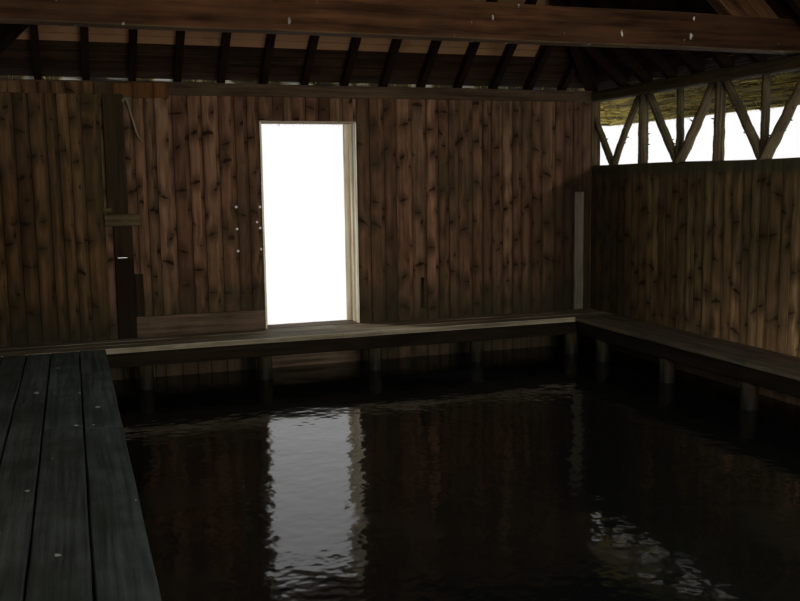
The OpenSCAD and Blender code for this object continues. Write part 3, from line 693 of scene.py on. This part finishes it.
front = {"post": 0.16, "brace": 0.1, "rise": 0.62, "run": 0.56, "lap": 0.02}
x = np.array([dockLeft - front["post"] / 2, dockRight + front["post"] / 2])
y, run, foot = -halfL - front["post"] / 2 + front["lap"], front["run"], plateLow - front["rise"]
for kind, feet, tops, taper, seed, shape in (
        ("post", at(x, y, 0.0), at(x, y, plateLow), 0.93, 330, dict(sides=20, stations=60, bow=0.004,
            lumps=0.03)),
        ("brace", at(x, y, foot), at(x + [run, -run], y, plateLow + front["lap"]), 0.85, 331,
            dict(stations=30, bow=0.01))):
    shells = [poles(feet, tops, front[kind], front[kind] * taper, seed, **shape)]
    addPiece("front_" + kind + "_poles", shells, "rusticPoles", "front_" + kind + "s", smooth=True)

half = wallThick / 2
corners = [(sx * (halfW + half), sy * (halfL + half)) for sx in (-1, 1) for sy in (-1, 1)]
boxesPiece("corner_post_timbers",
    [((x - half, y - half, 0), (x + half, y + half, plateLow)) for x, y in corners],
    2, "cornerPosts", "corner_posts", 340, chamfer=0.01, waver=0.002, stations=20)
print("poles ready")

# Walkways: planks on bearers on round piles
walk = {"plank": 0.05, "width": 0.205, "gap": 0.008, "long": 3.2, "chamfer": 0.007, "bearerIn": 0.03,
    "bearer": 0.1, "bearerTop": floorZ - 0.05, "bearerLow": floorZ - 0.18, "bearerShort": 0.06,
    "pile": 0.15, "pileGap": 1.08, "pileStart": 0.3, "end": 0.002, "settle": 0.003,
    "wideSpread": 0.12, "longSpread": 0.35}


def planks(axis, low, high, seed):
    # planks along an axis that fill a box, in lengths with staggered joints
    rng = seeded(seed)
    other = 1 - axis
    lanes = splitRun(low[other], high[other], walk["width"], walk["wideSpread"], rng)
    ends, widths = [], []
    for laneLow, laneHigh in zip(lanes[:-1], lanes[1:]):
        cuts = splitRun(low[axis], high[axis], walk["long"], walk["longSpread"], rng)
        for cutLow, cutHigh in zip(cuts[:-1], cuts[1:]):
            plank = np.zeros((2, 3))
            plank[:, axis] = cutLow + walk["end"], cutHigh - walk["end"]
            plank[:, other] = (laneLow + laneHigh) / 2
            plank[:, 2] = (low[2] + high[2]) / 2 - rng.uniform(0, walk["settle"])
            ends.append(plank)
            widths.append(laneHigh - laneLow - walk["gap"])
    return bars(*np.swapaxes(ends, 0, 1), np.eye(3)[other], widths, walk["plank"] - walk["settle"],
        seed + 1, chamfer=walk["chamfer"], stations=16, waver=0.0015)


for label, axis, look in (("left", 1, "walkwayPlanks"), ("right", 1, "rightPlanks"),
        ("back", 0, "backPlanks")):
    node = "walkway_" + label
    addPiece(node + "_planks", [planks(axis, *nodeBox[node], 350 + len(label))], look, node)
near, far, front = walk["bearerIn"], walk["bearerIn"] + walk["bearer"], -halfL + walk["bearerShort"]
bearers = [blockBars((*low, walk["bearerLow"]), (*high, walk["bearerTop"]), axis, 360 + axis, chamfer=0.006,
    waver=0.002, stations=30) for axis, low, high in (
        (1, (dockLeft - far, front), (dockLeft - near, dockBack)),
        (1, (dockRight + near, front), (dockRight + far, dockBack)),
        (0, (-halfW, dockBack + near), (halfW, dockBack + far)))]
addPiece("walkway_bearer_timbers", bearers, "bearerTimber", "walkway_bearers")
middle, start = (near + far) / 2, walk["pileStart"]
ys = np.arange(-halfL + start, dockBack - walk["pile"], walk["pileGap"])
xs = np.arange(-halfW + start, halfW - walk["pile"], walk["pileGap"])
for label, x, y in (("left", dockLeft - middle, ys), ("right", dockRight + middle, ys),
        ("back", xs, dockBack + middle)):
    shells = [poles(at(x, y, 0.0), at(x, y, walk["bearerLow"]), walk["pile"] * 0.97, walk["pile"] * 0.92,
        370 + len(label), sides=16, stations=8, bow=0.001, lumps=0.03)]
    addPiece("piles_" + label + "_poles", shells, "pileTimber", "piles_" + label, smooth=True)
print("walkways ready")

# Roof frame: tie beams and principal rafters; the common rafters keep their CAD meshes
truss = {"wide": 0.15, "tie": 0.246, "principal": 0.27, "slimmer": 0.014, "bed": 0.03,
    "paintedShadeFrom": 0.9, "paintedShadeOver": 1.8, "wearAndLight": 0.006}
tieHigh = nodeBox["tie_beams"][1]
trussY, half = tieHigh[1] - truss["wide"] / 2, truss["wide"] / 2
footZ = plateTop + truss["tie"] - truss["bed"]
under = np.array([sinP, 0, cosP]) * truss["principal"] / 2
ties, principals = [], []
for number, sy in enumerate((-1, 1)):
    y = sy * trussY
    tie = blockBars((-tieHigh[0], y - half, plateTop), (tieHigh[0], y + half, plateTop + truss["tie"]), 0,
        400 + number, chamfer=0.01, waver=0.003, stations=60)
    x, z = tie["points"][:, 0], tie["points"][:, 2]
    tie["mark"] = np.clip((x - truss["paintedShadeFrom"]) / truss["paintedShadeOver"], 0, 1)  # painted shade, darker towards the right end
    tie["edge"] = np.maximum(tie["edge"] * 0.4, z < plateTop + truss["wearAndLight"])  # painted light from below: the underside is paler
    ties.append(tie)
    for sx in (-1, 1):
        foot = np.array([sx * (halfW + roof["seat"] - (truss["tie"] - truss["bed"]) / slope), y, footZ])
        top = np.array([0, y, raftersUnder(-halfW)])
        lower = under * [sx, 1, 1]
        wide = truss["wide"] - truss["slimmer"] - 0.001 * sx  # the pair cross at the ridge, faces apart
        principals.append(bars(foot - lower, top - lower, (0, 1, 0), wide, truss["principal"],
            410 + sx + 3 * sy, chamfer=0.012, waver=0.002, stations=40))
addPiece("tie_beam_timbers", ties, "roofTimber", "tie_beams")
addPiece("principal_rafter_timbers", principals, "roofTimber", "principal_rafters")
crossing = "rafters_right", "rafters_left"
for node in (*crossing, "rafters_back", "rafters_front", "hip_rafters", "ridge_beam"):
    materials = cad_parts[node].data.materials
    materials.clear()
    materials.append(looks["rafterXTimber" if node in crossing else "rafterYTimber"][0])

# Roof boards: level rows up each slope, cut at the hips under the hip rafters
boarding = {"width": 0.112, "spread": 0.18, "gap": 0.004, "sideTail": 0.23, "endTail": 0.133, "long": 3.0,
    "longSpread": 0.4, "paleFrom": -0.19, "paleTo": 2.3}  # pale boards on the back slope
kinds = ("back", "front", "right", "left")


def slopePoint(kind, out, along, height):
    # a point of a slope: out from the wall's inner face, along the eaves, straight height
    x, y = {"right": (halfW + out, along), "left": (-halfW - out, -along),
        "back": (-along, halfL + out), "front": (along, -halfL - out)}[kind]
    return at(x, y, height)


def reachOf(kind):
    # half the length of a slope's eaves at the wall's inner face
    return halfL if kind in ("right", "left") else halfW


def roofBoards(kind, seed):
    rng = seeded(seed)
    tail = boarding["sideTail" if kind in ("right", "left") else "endTail"]
    mean, turn = boarding["width"] * cosP, -boarding["paleFrom"]
    rows = join([splitRun(-tail, turn, mean, boarding["spread"], rng)[:-1],
        splitRun(turn, halfW, mean, boarding["spread"], rng)])
    starts, ends, widths, marks = [], [], [], []
    for rowLow, rowHigh in zip(rows[:-1], rows[1:]):
        out = -(rowLow + rowHigh) / 2
        span = reachOf(kind) + out
        height = raftersUnder(out) + rafterV + boardV / 2
        pale = kind == "back" and out < boarding["paleFrom"]
        cuts = splitRun(-span, span, boarding["long"], boarding["longSpread"], rng)
        if pale and span > boarding["paleTo"]:
            cuts = np.sort(np.append(cuts, -boarding["paleTo"]))
        for cutLow, cutHigh in zip(cuts[:-1], cuts[1:]):
            starts.append(slopePoint(kind, out, cutLow, height))
            ends.append(slopePoint(kind, out, cutHigh, height))
            widths.append((rowHigh - rowLow) / cosP - boarding["gap"])
            marks.append(float(pale and (cutLow + cutHigh) / 2 > -boarding["paleTo"]))
    down = slopePoint(kind, 1.0, 0.0, -slope) - slopePoint(kind, 0.0, 0.0, 0.0)
    return bars(starts, ends, down, widths, roof["board"], seed + 1, chamfer=0.003, mark=marks)


for number, kind in enumerate(kinds):
    addPiece("roof_boarding_" + kind, [roofBoards(kind, 430 + 5 * number)], "roofBoarding",
        "roof_boards_" + kind)
print("roof frame ready")

# Thatch: one closed shell a slope, with a clipped end at the eaves and layered butts under it
thatch = {"step": 0.045, "topRound": 0.11, "lowRound": 0.03, "inset": 0.004, "hipRound": 0.05,
    "layer": 0.085, "layerDeep": 0.02, "sink": 0.014, "lap": 0.02}
straws = {"ends": 230, "belly": 150, "level": 26,  # straws a metre of eaves
    "endLong": (0.085, 0.125), "bellyLong": (0.06, 0.15), "levelLong": (0.4, 1.3), "thick": (0.004, 0.01),
    "levelThick": (0.006, 0.014)}
thatchUnder = rafterV + boardV
eavesRun = eavesOut / cosP - thatch["inset"]  # down the slope from the wall to the clipped end


def sines(x, y, size, low, high, count, seed):
    # a rough surface: count sine waves with wave vectors between low and high waves a metre
    rng = seeded(seed)
    total = np.zeros(np.shape(x))
    for number in range(count):
        kx, ky = rng.uniform(low, high, 2) * rng.choice([-1, 1], 2)
        total += np.sin(2 * pi * (kx * x + ky * y) + rng.uniform(0, 2 * pi))
    return size * total / np.sqrt(count)


def slopeCross(down, thick):
    # a place down the slope and square to it, from the thatch's underside at the wall's inner face
    return down * cosP + thick * sinP, raftersUnder(0) + thatchUnder - down * sinP + thick * cosP


def thatchShell(kind, seed):
    # profile: top, round corner, clipped end, round corner, layered underside; carried along the eaves
    reach, deep, lap = reachOf(kind), roof["thatch"], thatch["lap"]

    def corner(radius, middle, low, high, count):
        turn = np.linspace(low, high, count)
        return eavesRun - radius + radius * np.cos(turn), middle + radius * np.sin(turn)

    topDown, topThick = corner(thatch["topRound"], deep - thatch["topRound"], pi / 2, 0, 7)
    lowDown, lowThick = corner(thatch["lowRound"], thatch["lowRound"], 0, -pi / 2, 4)
    face = np.linspace(topThick[-1], lowThick[0], 7)[1:-1]
    under = np.linspace(lowDown[-1], lap, 56)[1:]
    inside = np.linspace(0, -halfW / cosP + 0.03, 6)
    down = join([topDown, eavesRun + 0 * face, lowDown, under, inside])
    thick = join([topThick, face, lowThick, 0 * under, 0 * inside])
    out, height = slopeCross(down, thick)
    rows = int(np.ceil((halfW + out[0]) / (thatch["step"] * cosP)))
    topOut = np.linspace(-halfW + lap, out[0], rows)[:-1]
    out = join([topOut, out])
    height = join([raftersUnder(topOut) + thatchUnder + thatchV, height])
    thick = join([deep + 0 * topOut, thick])
    down = join([(topOut - deep * sinP) / cosP, down])
    isUnder = np.zeros(len(out))
    isUnder[-len(under) - len(inside):-len(inside)] = 1
    share = np.linspace(-1, 1, int(2 * (reach + eavesLip) / thatch["step"]))[:, None]
    along = share * (reach + out)
    top = np.clip(thick / deep, 0, 1)
    points = slopePoint(kind, out, along, height)
    # the slopes meet in rounded hips: z = -k log(sum of exp(-z of each slope / k))
    k = thatch["hipRound"]
    falls = np.maximum(out - np.abs(along) + reach, 0), 2 * (out + halfW + halfL - reach)
    hip = -k * np.log(1 + sum(np.exp(-fall * slope / k) for fall in falls))
    calm = np.clip((1 - np.abs(share)) * reach / 0.25, 0, 1)
    swell = sines(points[..., 0], points[..., 1], 0.008, 0.3, 1.3, 14, 500)
    clumps = sines(along, down, 0.0035, 1.0, 6.0, 16, seed) * calm
    saw = ((down + sines(along, down, 0.012, 0.4, 3.0, 10, seed + 1)) / thatch["layer"]) % 1.0
    layers = -thatch["layerDeep"] * saw * calm + sines(along, 9 * down, 0.003, 2, 9, 12, seed + 2)
    points[..., 2] += (hip + swell + clumps - thatch["sink"]) * top + layers * isUnder * cosP * (1 - top)
    step = np.hypot(np.diff(out), np.diff(height))
    v = join([[0], step.cumsum(), [step.sum() + 0.3]]) + seed
    freshAndLit = np.clip(1.1 - top * 3.0, 0, 1)
    # painted shade in the steps between the layers
    gaps = np.clip(saw * 2 - 1, 0, 1) ** 1.5 * isUnder
    if kind == "back":
        inner = 1 - np.clip((np.abs(along) - halfW + 0.1) / 0.1, 0, 1)  # within the room's corners
        bunch = sines(along, 0, 1.0, 0.8, 5.0, 9, seed + 3) > 0.15  # straw over the plate in painted light
        freshAndLit = freshAndLit * (1 - inner + inner * (0.25 + 1.75 * bunch))
        # painted shade between the lit bunches, and darker towards the right end
        dark = np.maximum(np.clip(-along - 1.2, 0, 1), 0.85 - bunch)
        gaps = np.maximum(gaps, dark * inner * isUnder)
    elif kind != "front":
        paintedShadeAway = np.clip((halfL - 0.3 - points[..., 1]) / 2.2, 0, 0.66)  # painted shade, darker from the back corner on
        gaps = np.maximum(gaps, paintedShadeAway * isUnder)
    grain = at(join([along, along[:, :1]], 1), v)
    return weave(points[None], grain[None], at(out, height)[None, None], 0.5, freshAndLit, gaps)


def strawBlades(roots, directions, lengths, widths, seed, mark, sag=0.08):
    # three-sided tapering straws: three points at the root, three in the middle, one at the tip
    rng = seeded(seed)
    count = len(roots)
    along = unit(directions)
    side = unit(np.cross(along, rng.normal(size=(count, 3))))
    up = np.cross(along, side)
    angle = np.arange(3)[:, None] * 2 * pi / 3
    ring = (np.cos(angle) * side[:, None] + np.sin(angle) * up[:, None]) * widths[:, None, None] / 2
    middle = roots + along * lengths[:, None] * 0.6
    tip = roots + along * lengths[:, None]
    tip[:, 2] -= lengths * rng.uniform(0, sag, count)
    points = join([roots[:, None] + ring, middle[:, None] + ring * 0.8, tip[:, None]], 1)
    start = np.arange(count)[:, None] * 7
    quads = [start + [a, b, b + 3, a + 3] for a, b in ((0, 1), (1, 2), (2, 0))]
    threes = [start + corners for corners in ([3, 4, 6], [4, 5, 6], [5, 3, 6], [2, 1, 0])]
    u = rng.uniform(0, 30, (count, 1, 1))
    quadMap = u + np.array([[0, 0], [0.01, 0], [0.01, 0.1], [0, 0.1]])
    threeMap = u + np.array([[0, 0.1], [0.01, 0.1], [0.005, 0.15]])
    return {"points": points.reshape(-1, 3), "faces": quads + threes, "uv": [quadMap] * 3 + [threeMap] * 4,
        "tone": np.repeat(rng.uniform(0, 1, count), 7), "mark": np.repeat(mark, 7),
        "edge": np.zeros(count * 7)}


def eavesStraw(kind, seed):
    # loose straw ends round the clipped end and along the layers of the underside, and level straws there
    rng = seeded(seed)
    reach = reachOf(kind)
    metres = 2 * (reach + eavesOut)
    ends, belly, level = (int(metres * straws[part]) for part in ("ends", "belly", "level"))
    count = ends + belly
    down = join([np.full(ends, eavesRun - 0.09), rng.uniform(0.02, eavesRun - 0.12, belly)])
    thick = join([rng.uniform(0.0, roof["thatch"] - 0.1, ends), np.full(belly, -0.002)])
    lengths = join([rng.uniform(*straws["endLong"], ends), rng.uniform(*straws["bellyLong"], belly)])
    out, height = slopeCross(down, thick)
    along = rng.uniform(-1, 1, count) * (reach + out - 0.04)
    roots = slopePoint(kind, out, along, height)
    tips = slopePoint(kind, out + cosP, along + rng.normal(0, 0.16, count),
        height - sinP - rng.uniform(0, 0.14, count))
    mark = np.clip(1.1 - thick / roof["thatch"] * 3.0, 0, 1)
    if kind == "back":
        level = 0
    down = rng.uniform(0.1, eavesRun - 0.06, level)
    out, height = slopeCross(down, -0.006 - rng.uniform(0, 0.012, level))
    spans = rng.uniform(*straws["levelLong"], level)
    along = rng.uniform(-1, 1, level) * (reach + out - 0.7) - spans / 2
    feet = slopePoint(kind, out, along, height)
    out = out + rng.normal(0, 0.03, level)
    heads = slopePoint(kind, out, along + 1, height + rng.normal(0, 0.006, level))
    widths, levelWidths = rng.uniform(*straws["thick"], count), rng.uniform(*straws["levelThick"], level)
    return [strawBlades(roots, tips - roots, lengths, widths, seed + 1, mark),
        strawBlades(feet, heads - feet, spans, levelWidths, seed + 2, np.ones(level), 0.004)]


def strawLook(name, dark, light, aging, amber, gold, goldShare, moss=None):
    # combed straw: fine streaks along V, broader clumps and long runs
    look = Look(name)
    spot, place = look.grain(), look.place()
    mark = look.attribute("mark")  # 1 fresh golden straw brightened by painted light, 2 straw over the plate in painted light
    freshAndLit = mark.math("MINIMUM", 1.0)
    streak = look.noise(spot, (190.0, 6.0, 1.0), 3.0, 0.6)
    clump = look.noise(spot, (26.0, 2.4, 1.0))
    runs = look.noise(spot, (4.5, 0.5, 1.0))
    shade = streak * 0.5 + clump * 0.25 + runs * 0.35 + (look.attribute("tone") - 0.5) * 0.35
    shade = shade.rise(0.38, 0.74)
    colour = look.blend(shade, tone(*dark), tone(*light))
    aged = look.noise(place, (0.5, 0.5, 0.7), 4.0, 0.6).rise(0.42, 0.62)
    colour = look.blend(aged * 0.5, colour, look.blend(shade, tone(*aging), tone(*light)))
    # under the eaves the layers run level, in slow waves; their gold is fresh straw, partly painted light
    x, y, z = look.parts(spot)
    wave = look.joined(x, y + (look.noise(spot, (1.3, 2.5, 1.0), 1.0) - 0.5) * 0.16, z)
    level = look.noise(wave, (2.4, 52.0, 1.0), 3.0, 0.65).rise(0.34, 0.6)
    # painted light on the straw over the plate
    litOverPlate = look.blend(level, tone(120, 110, 92), tone(244, 238, 222))
    warm = look.blend(mark.rise(1.0, 1.3), look.blend(level, tone(*amber), tone(*gold)), litOverPlate)
    colour = look.blend(freshAndLit * goldShare, colour, warm)
    if moss:
        green = (look.noise(place, (0.9, 0.9, 0.9), 3.0) * 0.7 + clump * 0.3).rise(0.5, 0.66) * (1 - freshAndLit)
        colour = look.blend(green * 0.6, colour, tone(*moss))
    # the streaks and the gaps are painted shade in the hollows between the layers of golden straw
    gap = look.attribute("edge")
    streaks = look.noise(wave, (1.1, 19.0, 1.0), 2.5, 0.6).rise(0.47, 0.55)
    hollow = (streaks * (0.6 + gap * 0.4)).math("MAXIMUM", gap * 0.9)
    colour = look.blend(1.0, colour, 1 - hollow * (freshAndLit * 5).math("MINIMUM", 1.0), "MULTIPLY")
    return look.finish(colour, 0.88 - shade * 0.12, streak * 0.6 + clump * 0.5, 0.01)


looks["straw"] = strawLook("strawThatch", (70, 60, 45), (150, 132, 102), (58, 54, 46), (104, 82, 30),
    (252, 228, 112), 0.95, (78, 84, 48)), "straw_thatch"
looks["ridge"] = strawLook("ridgeStraw", (70, 58, 40), (158, 136, 96), (66, 60, 50), (110, 90, 50),
    (204, 178, 112), 0.7), "ridge_straw"
for number, kind in enumerate(kinds):
    addPiece("thatch_" + kind + "_straw", [thatchShell(kind, 510 + 7 * number)], "straw", "thatch_" + kind,
        smooth=True)
    addPiece("eaves_straw_" + kind, eavesStraw(kind, 540 + 7 * number), "straw")
print("thatch ready")

# Ridge: a straw saddle held by split rods
ridge = {"in": 0.015, "under": 0.012, "foot": 0.455, "round": 0.06, "bend": 0.9, "step": 0.04,
    "rows": (0.16, 0.29, 0.41), "rod": 0.016, "cross": 0.21, "rodEnd": 0.1, "thick": 0.085,
    "droop": 0.036, "fringe": 150,  # straw ends a metre
    "fringeLong": (0.11, 0.165), "fringeThick": (0.004, 0.009)}
half, ridgeTop = nodeBox["ridge_cap"][1][1:] - [ridge["in"], ridge["under"]]


def saddleHeight(x):
    # height of the saddle's top: a rounded gable
    return ridgeTop - (np.sqrt(x ** 2 + ridge["round"] ** 2) - ridge["round"]) * slope * ridge["bend"]


def ridgeShell(seed):
    # profile across the ridge, outer side from left foot to right foot and back under, carried along it
    share = np.linspace(-1, 1, 41)
    y = np.linspace(-1, 1, int(2 * half / ridge["step"]))[:, None]
    foot = ridge["foot"] + sines(y * half, 0, 0.008, 1.5, 7.0, 10, seed)
    x, underX = share * foot, share[::-1] * (foot - 0.035)
    z = saddleHeight(x) + sines(x, y * half, 0.004, 1.0, 5.0, 14, seed + 1)
    z -= ridge["droop"] * np.abs(y) ** 12
    across = join([x, underX], 1)
    height = join([z, saddleHeight(underX) - ridge["thick"]], 1)
    v = np.abs(share) * 0.6
    grain = at(y * half, join([v, 1 + v, v[:1]]))
    return weave(at(across, y * half, height)[None], grain[None], at(across, height)[None], 0.5, 0.0, 0.0)


def ridgeFringe(seed):
    # straw ends along both lower edges of the saddle
    rng = seeded(seed)
    count = int(4 * half * ridge["fringe"])
    side = rng.choice([-1.0, 1.0], count)
    x = side * (ridge["foot"] - 0.1)
    y = rng.uniform(-1, 1, count) * (half - 0.02)
    roots = at(x, y, saddleHeight(x) - rng.uniform(0.01, 0.075, count))
    run = at(side * cosP, rng.normal(0, 0.12, count), -sinP * ridge["bend"] - rng.uniform(0, 0.05, count))
    lengths, widths = (rng.uniform(*ridge[key], count) for key in ("fringeLong", "fringeThick"))
    return strawBlades(roots, run, lengths, widths, seed + 1, np.full(count, 0.3))


addPiece("ridge_straw_saddle", [ridgeShell(560), ridgeFringe(570)], "ridge", "ridge_cap", smooth=True)
rodX = np.array([s * row for s in (-1, 1) for row in ridge["rows"]])
rodEnds = at(rodX, half - 0.03, saddleHeight(rodX) + 0.004)
crossEnd, turn = half - ridge["rodEnd"], ridge["cross"] / 2
crossY = np.arange(-crossEnd, crossEnd, ridge["cross"])
crossEnds = [[], []]
for s in (-1, 1):
    for rows in zip(ridge["rows"][:-1], ridge["rows"][1:]):
        for turns in ((0, turn), (turn, 0)):
            for found, row, move in zip(crossEnds, rows, turns):
                found.append(at(s * row, crossY + move, saddleHeight(row) + 0.008))
feet, tops = (join(found) for found in crossEnds)
rod, cross = ridge["rod"], ridge["rod"] * 0.7
shells = [poles(rodEnds * [1, -1, 1], rodEnds, rod, rod, 580, sides=6, stations=30, bow=0.002),
    poles(feet, tops, cross, cross, 581, sides=5, stations=4, bow=0.001)]
addPiece("ridge_split_rods", shells, "rusticPoles", smooth=True)
print("ridge ready")

# Small things on the back wall: white bolt heads and a curved sliver of wood
bolts = {"size": 0.028, "proud": 0.012, "spots": ((-0.78, 1.648), (-0.778, 1.437), (-0.776, 1.225),
    (-0.549, 1.643), (-0.583, 1.499), (-0.555, 1.44), (-0.552, 1.236))}
look = Look("boltHeads")
rust = look.noise(look.place(), (60.0, 60.0, 60.0)).rise(0.52, 0.66)
colour = look.blend(rust * 0.35, tone(246, 244, 238), tone(132, 96, 72))
looks["bolt"] = look.finish(colour, 0.45 + rust * 0.3), "pale_wood"
x, z = np.array(bolts["spots"]).T
addPiece("bolt_heads", [poles(at(x, halfL + 0.003, z), at(x, halfL - bolts["proud"], z), bolts["size"],
    bolts["size"] * 0.7, 590, sides=10, stations=4, bow=0.0, lumps=0.0)], "bolt")
sliver = {"path": ((-1.768, 2.618), (-1.785, 2.634), (-1.768, 2.652), (-1.742, 2.636), (-1.716, 2.53),
    (-1.695, 2.44), (-1.662, 2.31), (-1.62, 2.262)), "wide": 0.025, "thick": 0.007, "rounds": 2}
x, z = np.array(sliver["path"]).T
path = at(x, postY - 0.012, z)
for turn in range(sliver["rounds"]):  # corners cut at a quarter and three quarters of each stretch
    cut = np.stack([path[:-1] * 0.75 + path[1:] * 0.25, path[:-1] * 0.25 + path[1:] * 0.75], 1)
    path = join([path[:1], cut.reshape(-1, 3), path[-1:]])
t = np.linspace(0, 1, len(path))[:, None]
angle = np.arange(8) / 8 * 2 * pi
broad = sliver["wide"] / 2 * (1 - 0.55 * t) * (1 + 0.22 * np.sin(19 * t))
out = np.broadcast_to([0.0, -1.0, 0.0], path.shape)
side = unit(np.cross(out, unit(np.gradient(path, axis=0))))
addPiece("curved_sliver", [tube(path[None], side[None], out[None], (broad * np.cos(angle))[None],
    (sliver["thick"] / 2 * np.sin(angle) + 0 * t)[None], 0.0, seeded(595), np.array([0.5]),
    (0.6, 0.6))], "backPlanks", smooth=True, slot="pale_wood")

# Still water in the dock, up to the walls
water = {"top": 0.056, "deep": 0.05, "gap": 0.001}
look = Look("dockWater")
place = look.place()
ripples = look.noise(place, (3.0, 3.0, 3.0)) + look.noise(place, (14.0, 14.0, 14.0), 1.0) * 0.25
scum = look.noise(place, (1.3, 1.3, 1.3), 4.0).rise(0.55, 0.75)
colour = look.blend(scum * 0.4, tone(14, 17, 15), tone(34, 36, 30))
looks["water"] = look.finish(colour, 0.07 + scum * 0.1, ripples, 0.006, IOR=1.33), None
addPiece("dock_water", [blockBars((-halfW + water["gap"], -halfL, water["top"] - water["deep"]),
    (halfW - water["gap"], halfL - water["gap"], water["top"]), 1, 600, chamfer=0.001)], "water")

# Stage: pale floor and white surroundings; lamps at a plain level
stage = {"size": 60.0, "sky": 0.78}
look = Look("stageFloor")
rays = look.node("LightPath")
seen = rays["Is Camera Ray"].math("MAXIMUM", rays["Is Glossy Ray"])
lift = look.blend(rays["Is Camera Ray"], tone(0, 0, 0), tone(78, 78, 78))
floorLook = look.finish(look.blend(seen, tone(214, 214, 212), tone(250, 250, 249)), 0.9,
    **{"Emission Color": lift, "Emission Strength": 1.0})
mesh = bpy.data.meshes.new("stage_floor")
far = stage["size"]
mesh.from_pydata([(-far, -far, 0), (far, -far, 0), (far, far, 0), (-far, far, 0)], [], [(0, 1, 2, 3)])
mesh.materials.append(floorLook)
floor = bpy.data.objects.new("stage_floor", mesh)
bpy.context.scene.collection.objects.link(floor)

look = Look("plainSky", "worlds")
bpy.context.scene.world = look.owner
rays = look.node("LightPath")
seen = rays["Is Camera Ray"].math("MAXIMUM", rays["Is Glossy Ray"])
seen = seen.math("MAXIMUM", rays["Is Transmission Ray"])
sky, back = (look.node("Background", {0: (1, 1, 1, 1), 1: strength})[0] for strength in (stage["sky"], 1.0))
look.node("OutputWorld", {0: look.node("MixShader", {0: seen, 1: sky, 2: back})[0]})

lamps = {  # kind, place, the point it shines at, settings
    "sun": ("SUN", (-8, 8, 12), (0, 0, 2), dict(energy=1.3, angle=radians(12))),
    "entranceLamp": ("AREA", (0.4, -halfL + 0.05, 1.7), (0.2, halfL, 1.6),
        dict(energy=112.0, shape="RECTANGLE", size=3.4, size_y=1.7, spread=radians(115))),
    "ceilingLamp": ("AREA", (0, 1.0, 2.72), (0, 1.0, 0),
        dict(energy=11.0, shape="RECTANGLE", size=5.0, size_y=6.0))}
for name, (kind, spot, target, settings) in lamps.items():
    lamp = bpy.data.lights.new(name, kind)
    for key, value in settings.items():
        setattr(lamp, key, value)
    holder = bpy.data.objects.new(name, lamp)
    holder.location = spot
    holder.rotation_euler = (Vector(target) - Vector(spot)).to_track_quat("-Z", "Y").to_euler()
    bpy.context.scene.collection.objects.link(holder)
    holder.visible_camera = holder.visible_glossy = False

# The camera stands on the left walkway near the open end, as in the photo
cameraPlace = {"x": -2.277, "fromBack": 9.015, "aboveFloor": 1.415, "yaw": 19.25, "down": 7.23, "roll": 0.79,
    "focus": 934.9, "pixels": 800}
yaw, down, roll = (radians(cameraPlace[key]) for key in ("yaw", "down", "roll"))
camera = bpy.data.objects.new("camera", bpy.data.cameras.new("camera"))
camera.data.lens = cameraPlace["focus"] / cameraPlace["pixels"] * camera.data.sensor_width
spot = cameraPlace["x"], halfL - cameraPlace["fromBack"], floorZ + cameraPlace["aboveFloor"]
camera.matrix_world = Matrix.Translation(spot)
for angle, axis in ((-yaw, "Z"), (pi / 2 - down, "X"), (-roll, "Z")):
    camera.matrix_world @= Matrix.Rotation(angle, 4, axis)
bpy.context.scene.collection.objects.link(camera)
bpy.context.scene.camera = camera
bpy.context.scene.view_settings.view_transform = "Standard"

print("scene ready")
